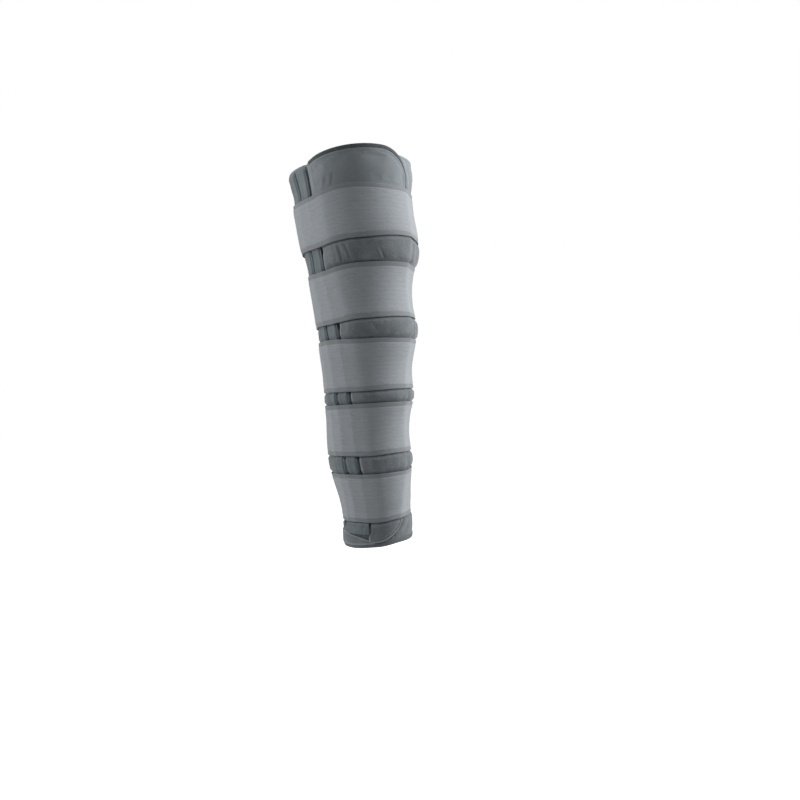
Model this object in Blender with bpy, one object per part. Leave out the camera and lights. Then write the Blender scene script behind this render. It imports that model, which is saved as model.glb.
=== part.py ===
"""Knee immobilizer for a right leg, in the form that it has when it is worn.

A padded wrap goes round the leg. A padded front panel covers its opening, two stay pockets run
down its outer side, and five wide elastic straps, each closed by a hook tab, hold it shut.
The origin is the middle of the knee. +Z goes up the thigh, -Y to the front, -X to the outer side.
Angles round the leg count in degrees from the front, through the outer side, to the back.
"""
from collections import namedtuple
import math

import bpy
import bmesh
from mathutils import Vector

MM = 0.001

# Thickness of each layer and the gaps between them, in millimetres
WRAP_FOAM = 5.0
FRONT_FOAM = 5.0
POCKET_PAD = 3.0
FLAP_CLOTH = 1.6
STRAP_ELASTIC = 2.2
HOOK_TAPE = 1.2
SEAT_GAP = 0.5
FRONT_SEAT_GAP = 0.8
STRAP_GAP = 0.6
LAP_GAP = 0.8

# How the straps sink into the padding
STRAP_SINK = STRAP_GAP + STRAP_ELASTIC
SINK_MARGIN = 1.0
SINK_SLOPE = 6.0
STRAP_PINCH = 2.2
PINCH_ANGLE = -45.0

# Outer surface of the wrap where no strap presses it
Section = namedtuple("Section", "height half_width half_depth forward")
SECTIONS = [
    Section(-268, 50.0, 53.0, -2.0),
    Section(-222, 50.0, 53.0, -0.5),
    Section(-202, 51.7, 55.4, -1.3),
    Section(-180, 54.6, 59.7, -4.0),
    Section(-150, 58.7, 64.8, -7.5),
    Section(-115, 59.1, 65.2, -7.5),
    Section(-82, 60.9, 65.8, -3.5),
    Section(-60, 64.2, 67.6, -0.2),
    Section(-20, 65.8, 67.8, 1.7),
    Section(18, 70.3, 72.5, 5.2),
    Section(40, 72.2, 74.4, 7.2),
    Section(78, 72.5, 75.5, 3.3),
    Section(118, 75.6, 79.4, 2.7),
    Section(145, 80.3, 85.2, 6.0),
    Section(178, 85.3, 90.4, 3.8),
    Section(215, 85.9, 91.2, -1.2),
    Section(240, 85.0, 90.1, -2.3),
    Section(285, 86.7, 92.0, -2.8),
]

# Height of an edge as it goes round the leg
Edge = namedtuple("Edge", "front corner outer back inner")
EDGE_ANGLES = (0, 45, 90, 180, 270, 360)
TOP_RIM = Edge(283, 279, 277, 270, 285)
BOTTOM_RIM = Edge(-265, -268.5, -268.5, -268, -263)

# Straps from the thigh down to the ankle
Strap = namedtuple("Strap", "name upper lower")
STRAPS = [
    Strap("1", Edge(236.0, 239.0, 230.5, 231, 238), Edge(165.8, 163.0, 156.6, 158, 162)),
    Strap("2", Edge(130.2, 130.4, 125.4, 127, 128), Edge(55.2, 54.2, 50.5, 51, 56)),
    Strap("3", Edge(24.5, 26.3, 29.3, 31, 23), Edge(-45.8, -45.8, -44.4, -43, -45)),
    Strap("4", Edge(-64.5, -63.3, -62.9, -62, -67), Edge(-136.1, -137.2, -135.7, -135, -137)),
    Strap("5", Edge(-163.2, -163.4, -161.9, -162, -158), Edge(-229.8, -232.8, -231.3, -232, -224)),
]

# Side edges of the front panel: the slit beside the pockets and the free edge over the shin
PanelSide = namedtuple("PanelSide", "height slit_angle free_angle")
PANEL_SIDES = [
    PanelSide(-270, 51.0, -3.0),
    PanelSide(-215, 53.0, -6.0),
    PanelSide(-148, 55.5, -11.5),
    PanelSide(-56, 64.0, -10.0),
    PanelSide(45, 75.5, -14.0),
    PanelSide(150, 85.0, -12.0),
    PanelSide(240, 85.5, -18.5),
    PanelSide(295, 87.5, -19.0),
]
FRONT_TOP_SIDE = 279.0
FRONT_CROWN = 14.0
CROWN_ANGLE = 27.0
CROWN_REACH = 60.0
FRONT_BOTTOM = -259.0
FREE_CORNER = 30.0
SLIT_CORNER = 7.0
CORNER_ROWS = (0.0, 1.5, 6.0, 14.0)

# Opening of the wrap, hidden under the front panel
WRAP_START = 35.0
WRAP_END = 34.0 + 360.0

# Stay pockets beside the slit
SLIT_WIDTH = 3.0
POCKET_WIDTH = 21.3
POCKET_WIDENING = 0.0104
SEAM_WIDTH = 1.5
POCKET_BOTTOM = -251.0
POCKET_RIM = 5.0

# Flap over the lower ends of the pockets
FLAP_BOTTOM = -252.5
FLAP_CLEARANCE = 0.8
FLAP_COLUMNS = 8

# Lap of each strap, behind the inner side of the leg
LAP_START = -120.0
LAP_RISE = 9.0
HOOK_START = 258.0
HOOK_RISE = 5.0
STRAP_END = 280.0
HOOK_END = 292.0
HOOK_INSET = 6.0
STEP_RISE = 8.0
SLIT_FALL = 4.5
STEP_MARGIN = 1.0

EDGE_ROUNDING = 5.0
EDGE_THICKNESS = 0.55
SHARP_ANGLE = 50

# Colour, roughness and metallic value of each fabric
FABRICS = {
    "panel_fabric": ((0.115, 0.135, 0.150), 0.85, 0.0),
    "pocket_fabric": ((0.150, 0.185, 0.210), 0.80, 0.0),
    "strap_elastic": ((0.290, 0.305, 0.315), 0.90, 0.0),
    "hook_tape": ((0.090, 0.098, 0.104), 0.75, 0.0),
}


def smooth_value(rows, column, height):
    """Value of one column at a height, on a smooth curve through the rows."""
    heights = [row.height for row in rows]
    values = [getattr(row, column) for row in rows]
    if height <= heights[0]:
        return values[0]
    if height >= heights[-1]:
        return values[-1]
    upper = next(i for i, level in enumerate(heights) if level > height)
    lower = upper - 1

    def slope(i):
        before = max(i - 1, 0)
        after = min(i + 1, len(rows) - 1)
        return (values[after] - values[before]) / (heights[after] - heights[before])

    span = heights[upper] - heights[lower]
    t = (height - heights[lower]) / span
    return ((2 * t ** 3 - 3 * t ** 2 + 1) * values[lower]
            + (t ** 3 - 2 * t ** 2 + t) * span * slope(lower)
            + (3 * t ** 2 - 2 * t ** 3) * values[upper]
            + (t ** 3 - t ** 2) * span * slope(upper))


def edge_height(edge, angle):
    """Height of an edge at an angle round the leg."""
    turned = angle % 360
    levels = tuple(edge) + (edge.front,)
    upper = next(i for i, station in enumerate(EDGE_ANGLES) if station > turned)
    low, high = EDGE_ANGLES[upper - 1], EDGE_ANGLES[upper]
    ease = (1 - math.cos(math.pi * (turned - low) / (high - low))) / 2
    return levels[upper - 1] + (levels[upper] - levels[upper - 1]) * ease


def strap_sink(angle, height):
    """How far a strap presses the padding in: all over its width, and more along its middle."""
    pressure = 0.0
    middle = 0.0
    for strap in STRAPS:
        upper = edge_height(strap.upper, angle)
        lower = edge_height(strap.lower, angle)
        outside = max(height - upper, lower - height)
        pressure = max(pressure, min(1.0, 1.0 - (outside - SINK_MARGIN) / SINK_SLOPE))
        middle = max(middle, 1.0 - (1.0 + 2.0 * outside / (upper - lower)) ** 2)
    on_soft_side = (1.0 + math.cos(math.radians(angle - PINCH_ANGLE))) / 2
    return STRAP_SINK * pressure + STRAP_PINCH * middle * on_soft_side


def wrap_radius(angle, height):
    """Distance from the leg's middle line to the outer surface of the wrap."""
    turn = math.radians(angle)
    half_width = smooth_value(SECTIONS, "half_width", height)
    half_depth = smooth_value(SECTIONS, "half_depth", height)
    radius = 1.0 / math.hypot(math.sin(turn) / half_width, math.cos(turn) / half_depth)
    return radius - strap_sink(angle, height)


def on_leg(angle, height, lift):
    """Point at an angle and height, lifted off the outer surface of the wrap."""
    turn = math.radians(angle)
    reach = wrap_radius(angle, height) + lift
    forward = smooth_value(SECTIONS, "forward", height)
    return Vector((-math.sin(turn) * reach, -forward - math.cos(turn) * reach, height)) * MM


def degrees_of(width, height):
    """Angle that a width covers on the wrap's outer side."""
    return math.degrees(width / smooth_value(SECTIONS, "half_width", height))


def edge_fullness(distance):
    """Share of a pad's full thickness at a distance from its edge."""
    near = min(1.0, max(0.0, distance / EDGE_ROUNDING))
    return EDGE_THICKNESS + (1.0 - EDGE_THICKNESS) * math.sqrt(near * (2.0 - near))


def stations(start, end, count):
    """Even steps from start to end, both included."""
    return [start + (end - start) * i / count for i in range(count + 1)]


def strap_rows(angle):
    """Heights that follow the straps' edges, from the lowest strap up."""
    rows = []
    for strap in reversed(STRAPS):
        lower = edge_height(strap.lower, angle)
        upper = edge_height(strap.upper, angle)
        rows += [lower - SINK_MARGIN - SINK_SLOPE, lower - SINK_MARGIN, (lower + upper) / 2,
                 upper + SINK_MARGIN, upper + SINK_MARGIN + SINK_SLOPE]
    return rows


def padded_patch(name, columns, rows, place, fabric):
    """A closed patch: a grid, extruded into an inner and an outer face, wrapped by place()."""
    grid = bmesh.new()
    bmesh.ops.create_grid(grid, x_segments=columns, y_segments=rows, size=0.5)
    raised = bmesh.ops.extrude_face_region(grid, geom=grid.faces[:])["geom"]
    outer_face = {item for item in raised if isinstance(item, bmesh.types.BMVert)}
    for vertex in grid.verts:
        column = round((vertex.co.x + 0.5) * columns)
        row = round((vertex.co.y + 0.5) * rows)
        vertex.co = place(column, row, vertex in outer_face)
    bmesh.ops.recalc_face_normals(grid, faces=grid.faces[:])
    mesh = bpy.data.meshes.new(name)
    grid.to_mesh(mesh)
    grid.free()
    mesh.shade_smooth()
    mesh.set_sharp_from_angle(angle=math.radians(SHARP_ANGLE))
    mesh.materials.append(fabric)
    patch = bpy.data.objects.new(name, mesh)
    bpy.data.collections["knee_immobilizer"].objects.link(patch)
    return patch


def make_fabric(name):
    """Principled material of one fabric."""
    colour, roughness, metallic = FABRICS[name]
    fabric = bpy.data.materials.new(name)
    fabric.use_nodes = True
    shader = fabric.node_tree.nodes["Principled BSDF"]
    shader.inputs["Base Color"].default_value = (*colour, 1.0)
    shader.inputs["Roughness"].default_value = roughness
    shader.inputs["Metallic"].default_value = metallic
    return fabric


def make_wrap(fabric):
    """The padded wrap round the leg, open along a line under the front panel."""
    angles = stations(WRAP_START, WRAP_END, 42)

    def heights(angle):
        bottom = edge_height(BOTTOM_RIM, angle)
        top = edge_height(TOP_RIM, angle)
        return [bottom, bottom + EDGE_ROUNDING] + strap_rows(angle) + [top - EDGE_ROUNDING, top]

    def place(column, row, outside):
        angle = angles[column]
        levels = heights(angle)
        from_rim = min(levels[row] - levels[0], levels[-1] - levels[row])
        thinned = WRAP_FOAM * (1.0 - edge_fullness(from_rim)) / 2
        lift = -thinned if outside else thinned - WRAP_FOAM
        return on_leg(angle, levels[row], lift)

    return padded_patch("wrap_panel", len(angles) - 1, len(heights(0)) - 1, place, fabric)


def front_top(angle):
    """Height of the front panel's crowned upper edge."""
    return FRONT_TOP_SIDE + FRONT_CROWN * (1.0 - ((angle - CROWN_ANGLE) / CROWN_REACH) ** 2)


def corner_inset(radius, distance):
    """How far a rounded corner pulls an edge in, at a distance from the panel's end."""
    left = max(0.0, radius - distance)
    return radius - math.sqrt(radius ** 2 - left ** 2)


def make_front_panel(fabric):
    """The padded front panel over the opening, with rounded corners and a raised edge."""
    shares = [0.0, 0.03, 0.10] + stations(0.2, 0.8, 6) + [0.90, 0.97, 1.0]

    def heights(angle):
        top = front_top(angle)
        upward = [FRONT_BOTTOM + step for step in CORNER_ROWS]
        downward = [top - step for step in CORNER_ROWS]
        return upward + strap_rows(angle) + [top - FREE_CORNER] + downward[::-1]

    def side_angles(level, from_end):
        free = smooth_value(PANEL_SIDES, "free_angle", level)
        slit = smooth_value(PANEL_SIDES, "slit_angle", level)
        free += degrees_of(corner_inset(FREE_CORNER, from_end), level)
        slit -= degrees_of(corner_inset(SLIT_CORNER, from_end), level)
        return free, slit

    def place(column, row, outside):
        levels = heights(CROWN_ANGLE)
        angle = CROWN_ANGLE
        for _ in range(3):
            level = levels[row]
            from_end = min(level - levels[0], levels[-1] - level)
            free, slit = side_angles(level, from_end)
            angle = free + (slit - free) * shares[column]
            levels = heights(angle)
        level = levels[row]
        from_end = min(level - levels[0], levels[-1] - level)
        from_side = min(angle - free, slit - angle) / degrees_of(1.0, level)
        lift = FRONT_SEAT_GAP
        if outside:
            lift += FRONT_FOAM * edge_fullness(min(from_end, from_side))
        return on_leg(angle, level, lift)

    return padded_patch("front_panel", len(shares) - 1, len(heights(0)) - 1, place, fabric)


def pocket_angles(number, height):
    """Front and back edge of a stay pocket at a height."""
    width = POCKET_WIDTH + POCKET_WIDENING * height
    start = smooth_value(PANEL_SIDES, "slit_angle", height)
    start += degrees_of(SLIT_WIDTH + number * (width + SEAM_WIDTH), height)
    return start, start + degrees_of(width, height)


def make_pocket(number, fabric):
    """One flat stay pocket, crowned across its width."""
    shares = (0.0, 0.2, 0.5, 0.8, 1.0)

    def heights(angle):
        top = edge_height(TOP_RIM, angle) - POCKET_RIM
        return [POCKET_BOTTOM] + strap_rows(angle) + [top]

    def place(column, row, outside):
        level = heights(90)[row]
        front, back = pocket_angles(number, level)
        angle = front + (back - front) * shares[column]
        level = heights(angle)[row]
        from_side = min(angle - front, back - angle) / degrees_of(1.0, level)
        lift = SEAT_GAP
        if outside:
            lift += POCKET_PAD * edge_fullness(from_side)
        return on_leg(angle, level, lift)

    name = "stay_pocket_{}".format(number + 1)
    return padded_patch(name, len(shares) - 1, len(heights(90)) - 1, place, fabric)


def make_pocket_flap(fabric):
    """The flap that closes the lower ends of both stay pockets."""
    front = pocket_angles(0, FLAP_BOTTOM)[0]
    back = pocket_angles(1, FLAP_BOTTOM)[1]
    angles = stations(front, back, FLAP_COLUMNS)

    def place(column, row, outside):
        angle = angles[column]
        top = edge_height(STRAPS[-1].lower, angle) - FLAP_CLEARANCE
        level = (FLAP_BOTTOM, top - SINK_SLOPE, top)[row]
        lift = 2 * SEAT_GAP + POCKET_PAD
        if outside:
            lift += FLAP_CLOTH
        return on_leg(angle, level, lift)

    return padded_patch("pocket_flap", FLAP_COLUMNS, 2, place, fabric)


def strap_path(height):
    """Angles and lifts of a strap's inner face, from its sewn end to its hooked end."""
    slit = smooth_value(PANEL_SIDES, "slit_angle", height)
    free = smooth_value(PANEL_SIDES, "free_angle", height)
    pockets_end = pocket_angles(1, height)[1]
    on_wrap = STRAP_GAP
    on_panel = FRONT_SEAT_GAP + FRONT_FOAM + STRAP_GAP
    on_pocket = SEAT_GAP + POCKET_PAD + STRAP_GAP
    on_start = STRAP_GAP + STRAP_ELASTIC + LAP_GAP
    on_hook = on_start + HOOK_TAPE + LAP_GAP
    lap_end = LAP_START + 360.0
    runs = [
        (stations(LAP_START, free - STEP_MARGIN - STEP_RISE, 12), on_wrap),
        (stations(free - STEP_MARGIN, slit + STEP_MARGIN, 11), on_panel),
        (stations(slit + STEP_MARGIN + SLIT_FALL, pockets_end + STEP_MARGIN, 5), on_pocket),
        (stations(pockets_end + STEP_MARGIN + STEP_RISE, lap_end - LAP_RISE, 12), on_wrap),
        (stations(lap_end - STEP_MARGIN, HOOK_START - HOOK_RISE, 2), on_start),
        (stations(HOOK_START - STEP_MARGIN, STRAP_END, 3), on_hook),
    ]
    return [(angle, lift) for angles, lift in runs for angle in angles]


def make_strap(strap, fabric):
    """One wide elastic strap, wound once round the brace and lapped over its own start."""
    count = len(strap_path(0.0)) - 1

    def place(column, row, outside):
        middle = (edge_height(strap.lower, 0) + edge_height(strap.upper, 0)) / 2
        level = middle + (row - 1) * (edge_height(strap.upper, 0) - middle)
        angle, lift = strap_path(level)[column]
        lower = edge_height(strap.lower, angle)
        upper = edge_height(strap.upper, angle)
        level = lower + (upper - lower) * row / 2
        if outside:
            lift += STRAP_ELASTIC
        return on_leg(angle, level, lift)

    return padded_patch("strap_{}".format(strap.name), count, 2, place, fabric)


def make_hook_tab(strap, fabric):
    """The plain hook tab between the lapped ends of a strap, longer than its outer end."""
    angles = stations(HOOK_START, HOOK_END, 5)

    def place(column, row, outside):
        angle = angles[column]
        lower = edge_height(strap.lower, angle)
        upper = edge_height(strap.upper, angle)
        lift = STRAP_GAP + STRAP_ELASTIC + LAP_GAP
        if outside:
            lift += HOOK_TAPE
        middle = on_leg(angle, (lower + upper) / 2, lift)
        if row == 1:
            return middle
        edge = on_leg(angle, upper if row == 2 else lower, lift)
        return edge.lerp(middle, 2 * HOOK_INSET / (upper - lower))

    return padded_patch("hook_tab_{}".format(strap.name), len(angles) - 1, 2, place, fabric)


def build():
    """Empty the scene and make every piece."""
    for old in list(bpy.data.objects):
        bpy.data.objects.remove(old, do_unlink=True)
    collection = bpy.data.collections.new("knee_immobilizer")
    bpy.context.scene.collection.children.link(collection)
    fabrics = {name: make_fabric(name) for name in FABRICS}
    make_wrap(fabrics["panel_fabric"])
    make_front_panel(fabrics["panel_fabric"])
    for number in range(2):
        make_pocket(number, fabrics["pocket_fabric"])
    make_pocket_flap(fabrics["panel_fabric"])
    for strap in STRAPS:
        make_strap(strap, fabrics["strap_elastic"])
        make_hook_tab(strap, fabrics["hook_tape"])


build()
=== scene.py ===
"""Looks of a knee immobilizer for a right leg, in the form that it has when it is worn.

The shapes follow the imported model's frame: the origin is the middle of the knee, +Z goes up the
thigh, -Y to the front and -X to the outer side. Angles round the leg count in degrees from the
front, through the outer side, to the back. Sizes are in millimetres, and a lift is a distance
off the outer surface of the wrap. Only the finished points are in metres.
"""
from collections import namedtuple
import math

import bpy
import numpy as np
from mathutils import Matrix, Vector


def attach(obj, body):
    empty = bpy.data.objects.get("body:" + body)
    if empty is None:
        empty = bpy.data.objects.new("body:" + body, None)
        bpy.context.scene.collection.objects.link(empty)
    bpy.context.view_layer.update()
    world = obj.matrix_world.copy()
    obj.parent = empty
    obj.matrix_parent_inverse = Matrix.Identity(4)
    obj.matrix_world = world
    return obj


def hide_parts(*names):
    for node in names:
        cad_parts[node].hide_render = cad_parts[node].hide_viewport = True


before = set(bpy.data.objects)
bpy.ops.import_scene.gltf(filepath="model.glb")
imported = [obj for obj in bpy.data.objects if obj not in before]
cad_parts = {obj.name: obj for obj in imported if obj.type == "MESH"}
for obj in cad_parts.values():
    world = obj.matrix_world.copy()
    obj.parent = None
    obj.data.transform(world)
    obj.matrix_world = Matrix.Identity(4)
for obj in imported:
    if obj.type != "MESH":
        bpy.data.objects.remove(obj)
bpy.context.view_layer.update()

MM = 0.001

# Thickness of each layer and the gaps between them
WRAP_FOAM = 5.0
FRONT_FOAM = 5.0
POCKET_PAD = 3.0
FLAP_CLOTH = 1.6
STRAP_ELASTIC = 2.2
HOOK_TAPE = 1.2
SEAT_GAP = 0.5
FRONT_SEAT_GAP = 0.8
STRAP_GAP = 0.6
LAP_GAP = 0.8

# How the straps sink into the padding
STRAP_SINK = STRAP_GAP + STRAP_ELASTIC
SINK_MARGIN = 1.0
SINK_SLOPE = 4.4
CROWN_SLOPE = 20.0
CROWN_SLOPE_START = 220.0
STRAP_PINCH = 2.2
PINCH_ANGLE = -45.0
STAY_ANGLE = 112.0
STAY_REACH = 55.0
STAY_HOLD = 0.2
STAY_HOLD_THIGH = 0.7
KNEE_START = -80.0
KNEE_REACH = 200.0

# Outer surface of the wrap where no strap presses it
Section = namedtuple("Section", "height half_width half_depth forward")
SECTIONS = [
    Section(-268, 50.0, 53.0, -2.0),
    Section(-222, 50.0, 53.0, -0.5),
    Section(-202, 51.7, 55.4, -1.3),
    Section(-180, 54.6, 59.7, -4.0),
    Section(-150, 58.7, 64.8, -7.5),
    Section(-115, 59.1, 65.2, -7.5),
    Section(-82, 60.9, 65.8, -3.5),
    Section(-60, 64.2, 67.6, -0.2),
    Section(-20, 65.8, 67.8, 1.7),
    Section(18, 70.3, 72.5, 5.2),
    Section(40, 72.2, 74.4, 7.2),
    Section(78, 72.5, 75.5, 3.3),
    Section(118, 75.6, 79.4, 2.7),
    Section(145, 80.3, 85.2, 6.0),
    Section(178, 85.3, 90.4, 3.8),
    Section(215, 85.9, 91.2, -1.2),
    Section(240, 85.0, 90.1, -2.3),
    Section(285, 86.7, 92.0, -2.8),
]
MEAN_RADIUS = 72.0

# Above the ankle the wrap is a little fuller and further forward than its sections, most at the rim
FULLER_START = -222.0
FULLER = 0.7
FULLER_RIM_START = 200.0
FULLER_RIM = 0.5
FORWARD_SHIFT = 1.0
FORWARD_SHIFT_RIM = 0.2

# The stays flatten the outer side of the thigh
FLAT_DEPTH = 2.0
FLAT_ANGLE = 95.0
FLAT_REACH = 30.0
FLAT_START = 130.0

# Height of an edge as it goes round the leg
Edge = namedtuple("Edge", "front corner outer back inner")
EDGE_ANGLES = np.array((0, 45, 90, 180, 270, 360))
TOP_RIM = Edge(284, 281, 280, 276, 287)
BOTTOM_RIM = Edge(-265, -268.5, -270.0, -269, -263)

# Outward flare of the upper rim behind the outer side
RIM_FLARE = 4.5
RIM_FLARE_START = 240.0
RIM_FLARE_ANGLE = 138.0
RIM_FLARE_REACH = 62.0

# Straps from the thigh down to the ankle; flare is how far the lower edge stands off outside
Strap = namedtuple("Strap", "name upper lower flare")
STRAPS = [
    Strap("1", Edge(236.0, 239.0, 230.5, 231, 238), Edge(165.8, 163.0, 158.4, 163, 162), 0.6),
    Strap("2", Edge(130.2, 130.4, 125.4, 127, 128), Edge(55.2, 54.2, 50.5, 51, 56), 0.3),
    Strap("3", Edge(24.5, 26.3, 29.3, 31, 23), Edge(-45.8, -45.8, -44.4, -43, -45), 0.0),
    Strap("4", Edge(-64.5, -63.3, -62.9, -62, -67),
          Edge(-136.1, -137.2, -135.7, -135, -137), 0.0),
    Strap("5", Edge(-163.2, -163.4, -161.9, -162, -158),
          Edge(-229.8, -232.8, -231.3, -232, -224), 0.0),
]

# Side edges of the front panel: the slit beside the pockets and the free edge over the shin
PanelSide = namedtuple("PanelSide", "height slit_angle free_angle")
PANEL_SIDES = [
    PanelSide(-270, 52.0, -1.0),
    PanelSide(-215, 54.0, -4.0),
    PanelSide(-148, 55.5, -12.5),
    PanelSide(-56, 64.0, -11.5),
    PanelSide(45, 74.5, -16.0),
    PanelSide(150, 84.0, -13.0),
    PanelSide(240, 84.5, -16.0),
    PanelSide(295, 88.0, -17.0),
]
FRONT_TOP_SIDE = 279.0
FRONT_CROWN = 12.5
CROWN_ANGLE = 27.0
CROWN_REACH = 60.0
FOOT_BAND = 6.3
FOOT_RADIUS = 50.0
FOOT_SEAM = 7.5
FOOT_SEAM_DEPTH = 0.5
CROWN_CORNER = 48.0
FOOT_CORNER = 42.0
SLIT_CORNER = 5.0
TOE_START = -247.0
TOE_WIDTH = 4.0

# Corners of the slit edge drawn back just below the upper two straps
Notch = namedtuple("Notch", "height depth")
NOTCHES = [Notch(153.0, 2.8), Notch(46.5, 2.8)]
NOTCH_REACH = 5.5

# Foam thinned out towards both side edges, and the wrap that swells up beside the free one
FREE_THINNING = 2.2
FREE_SWELL = 10.0
SLIT_THINNING = 2.2
SLIT_SWELL = 24.0
LIP_RISE = 2.2
LIP_START = 0.6
LIP_SLOPE = 3.0
LIP_REACH = 16.0

# Opening of the wrap, hidden under the front panel
WRAP_START = 44.0
WRAP_END = 43.0 + 360.0
FOOT_TAPE_START = 200.0

# Stay pockets beside the slit, and the flap over their lower ends
SLIT_WIDTH = 2.6
SLIT_WIDENING = 2.4
SLIT_DEPTH = 2.6
SLOT_START = 1.0
SLOT_END = 19.0
SLOT_DEPTH = 3.6
SLOT_BOTTOM = -246.0
SLOT_TOP = -228.0
POCKET_WIDTH = 21.3
POCKET_WIDENING = 0.0104
SEAM_WIDTH = 1.5
POCKET_BOTTOM = -245.5
POCKET_RIM = 5.0
POCKET_NOSE = 0.6
POCKET_MARGIN = 1.8
POCKET_MARGIN_CLOTH = 1.2
POCKET_SEAM_DEPTH = 0.35
POCKET_WAVE = 0.12
POCKET_WAVE_LENGTH = 46.0
FLAP_BOTTOM = -249.5
FLAP_RISE = 2.8
FLAP_CLEARANCE = 0.8
FLAP_MARGIN = 3.2
FLAP_NOSE = 0.7
FLAP_HEM = 4.2
FLAP_HEM_RISE = 0.45
FLAP_SEAM = 3.0
FLAP_SEAM_DEPTH = 0.35
FLAP_WAVE = 0.2
FLAP_WAVE_LENGTH = 17.0

# Folded upper edge of the cloth below the flap, falling from the back towards the slit
Ledge = namedtuple("Ledge", "angle height")
LEDGE = [Ledge(48, -260.5), Ledge(60, -257.0), Ledge(76, -252.6), Ledge(99, -248.2),
         Ledge(103, -247.3), Ledge(112, -246.5), Ledge(124, -246.0), Ledge(150, -246.0)]
LEDGE_CLOTH = 1.4
LEDGE_NOSE = 0.7
LEDGE_GROOVE = 0.3
LEDGE_GROOVE_PLACE = 1.6
LEDGE_GROOVE_WIDTH = 1.7
POCKETS_ANGLE = 82.0
POCKETS_REACH = 50.0

# A taut strap runs straight over hollows up to this many columns of its grid on either side
STRAP_COLUMN = 2.2
TAUT_REACH = 14
STAY_REST = 45.0

# Lap of each strap, behind the inner side of the leg
LAP_START = -120.0
HOOK_START = 258.0
STRAP_END = 280.0
LAP_SEAMS = (STRAP_END - 3.0, STRAP_END - 5.5)
HOOK_END = 292.0
HOOK_INSET = 6.0
HOOK_CORNER = 8.0
HOOK_NOSE = 0.5
FLARE_ANGLE = 140.0
FLARE_REACH = 54.0
FLARE_RISE = 0.4

# Weave of the straps: a hem along each edge and faint bands between them
HEM_WIDTH = 6.5
HEM_CLOTH = 1.75
HEM_GROOVE = 0.22
BAND_PITCH = 6.3
BAND_RELIEF = 0.015
HEM_STEP = 0.9
HEM_GROOVE_WIDTH = 0.55
STRAP_WAVE = 0.15
STRAP_WAVE_LENGTH = 90.0
STRAP_WIDTH = 75.0
STRAP_CROWDING = 1.0
STRAP_NOSE = 0.9

# Edges of the pads: a rounded nose, a rolled bead, and the tape that binds crown and foot
EDGE_SHARE = 0.8
EDGE_SWELL = 7.0
NOSE = 1.4
BEAD_PLACE = 1.9
BEAD_WIDTH = 1.1
BEAD_RISE = 0.55
FREE_BEAD = 1.6
BULGE_PLACE = 8.4
BULGE_WIDTH = 1.7
BULGE_RISE = 0.75
CROWN_OVER_STRAP = 8.0
PUCKER_WIDTH = 2.2
PUCKER_PITCH = 8.0
TAPE_WIDTH = 6.2
TAPE_CLOTH = 0.45
STITCH_PITCH = 3.1
STITCH_LENGTH = 2.3
STITCH_THICK = 0.55
SEAM_POINTS = 60

# Grids: columns round each piece, and rows or the size of a row up it
WRAP_COLUMNS = 176
WRAP_ROW = 2.7
FRONT_COLUMNS = 84
FRONT_ROW = 1.7
POCKET_COLUMNS = 24
POCKET_ROW = 2.5
FLAP_COLUMNS = 36
FLAP_ROWS = 21
STRAP_ROWS = 66
HOOK_COLUMNS = 26
HOOK_ROWS = 27

# Cloth simulation: the share that the cloth is too long by, and how far a point may move
WRAP_EXCESS = 0.02
WRAP_PUFF = 2.0
FRONT_EXCESS = 0.008
FRONT_PUFF = 1.2
FADE = 6.0
STAY_STIFFNESS = 0.4

# Creases pressed into the front panel beside the straps
Crease = namedtuple("Crease", "top_angle top_height low_angle low_height depth")
CREASES = [
    Crease(57, 258, 61, 237, 0.7),
    Crease(64, 254, 68, 238, 0.5),
    Crease(63, 160, 60, 131, 1.0),
    Crease(57, 158, 51, 129, 0.9),
    Crease(69, 162, 66, 136, 0.4),
    Crease(26, 147, 19, 128, 1.2),
    Crease(20, 31, 27, 24, 0.7),
    Crease(39, 51, 35, 42, 0.4),
]
CREASE_WIDTH = 1.3


def smooth_step(share):
    """Smooth rise from 0 to 1 as the share does."""
    share = np.clip(share, 0.0, 1.0)
    return share * share * (3.0 - 2.0 * share)


def rise(value, start, width):
    """Smooth rise from 0 to 1 over a width from the start on."""
    return smooth_step((value - start) / width)


def fall(value, end, width):
    """Smooth fall from 1 to 0 over a width before the end."""
    return smooth_step((end - value) / width)


def bell(value, middle, width):
    """Smooth bump of height 1 round a middle."""
    return np.exp(-((value - middle) / width) ** 2)


def smooth_value(rows, column, height):
    """Values of one column at these heights, on a smooth curve through the rows."""
    levels = np.array([row.height for row in rows], float)
    values = np.array([getattr(row, column) for row in rows], float)
    height = np.clip(height, levels[0], levels[-1])
    last = len(rows) - 1
    upper = np.clip(np.searchsorted(levels, height, side="right"), 1, last)
    lower = upper - 1
    after = np.minimum(np.arange(len(rows)) + 1, last)
    before = np.maximum(np.arange(len(rows)) - 1, 0)
    slope = (values[after] - values[before]) / (levels[after] - levels[before])
    span = levels[upper] - levels[lower]
    t = (height - levels[lower]) / span
    return ((2 * t ** 3 - 3 * t ** 2 + 1) * values[lower]
            + (t ** 3 - 2 * t ** 2 + t) * span * slope[lower]
            + (3 * t ** 2 - 2 * t ** 3) * values[upper]
            + (t ** 3 - t ** 2) * span * slope[upper])


def half_width(height):
    """Half widths of the wrap's sections at these heights."""
    return smooth_value(SECTIONS, "half_width", height)


def slit_angle(height):
    """Angles at which the slit beside the pockets starts."""
    return smooth_value(PANEL_SIDES, "slit_angle", height)


def free_angle(height):
    """Angles of the front panel's free edge between its corners."""
    return smooth_value(PANEL_SIDES, "free_angle", height)


def way_round(angle):
    """Way round the leg that angles cover at the mean radius."""
    return np.radians(angle) * MEAN_RADIUS


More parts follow.
